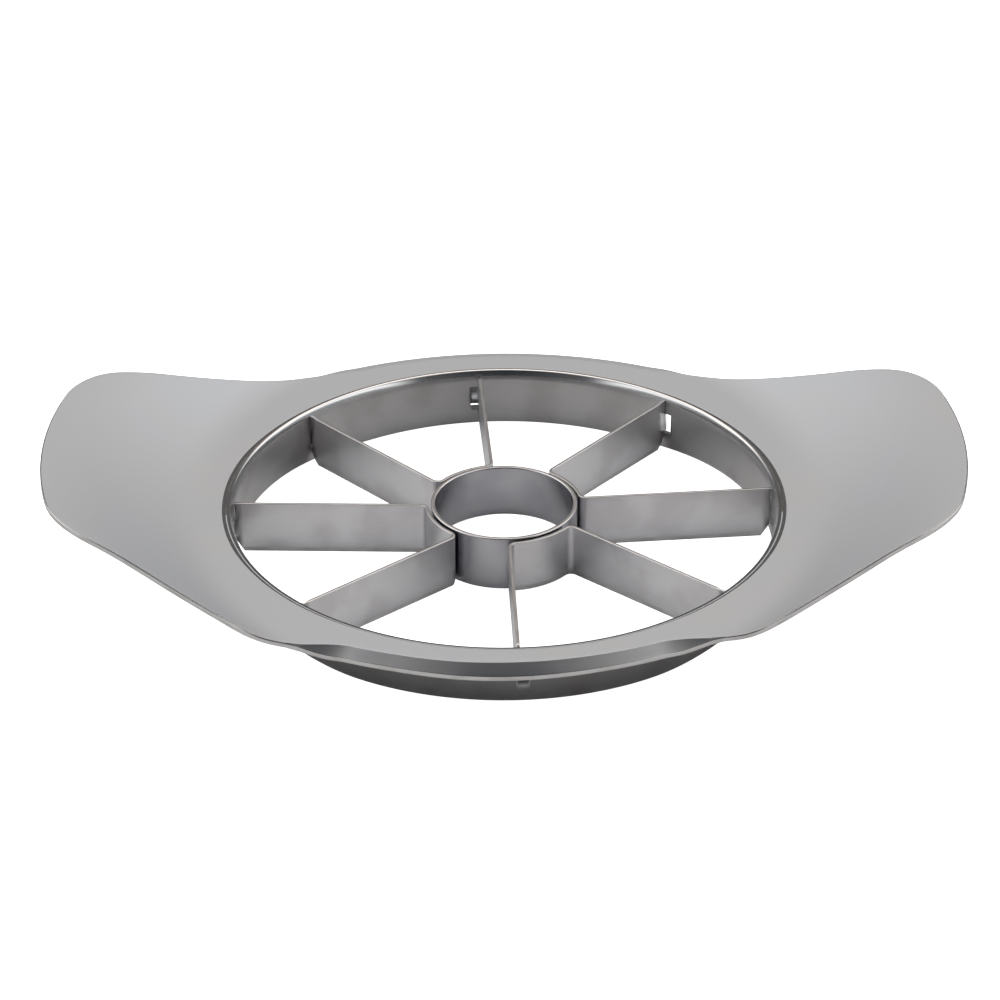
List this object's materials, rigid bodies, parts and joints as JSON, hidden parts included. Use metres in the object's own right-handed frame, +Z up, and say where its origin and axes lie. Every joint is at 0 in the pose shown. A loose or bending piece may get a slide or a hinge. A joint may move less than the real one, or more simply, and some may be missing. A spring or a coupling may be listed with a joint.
{
  "type": "apple slicer wedger press",
  "caption": "Round press-down fruit slicer: radial blades around a central coring ring, held in a drawn steel collar with raised flat handles on opposite sides.",
  "frame": {"origin": "centre of the round opening, on the plane that the collar's lower rim rests on", "axes": "+Z up, from the cutting edges to the handles; +X along the two handles, to the right in the picture; +Y towards the back"},
  "size_m": [0.1692, 0.1178, 0.0229],
  "materials": {
    "plate_steel": "satin polished stainless sheet",
    "blade_steel": "ground stainless strip",
    "hub_steel": "polished stainless tube",
    "weld_steel": "bare resistance weld"
  },
  "bodies": {
    "root": {"handle_plate": "plate_steel", "blade_strip_right": "blade_steel", "blade_strip_back": "blade_steel", "blade_strip_left": "blade_steel", "blade_strip_front": "blade_steel", "hub_ring": "hub_steel", "hub_welds": "weld_steel"}
  },
  "joints": []
}
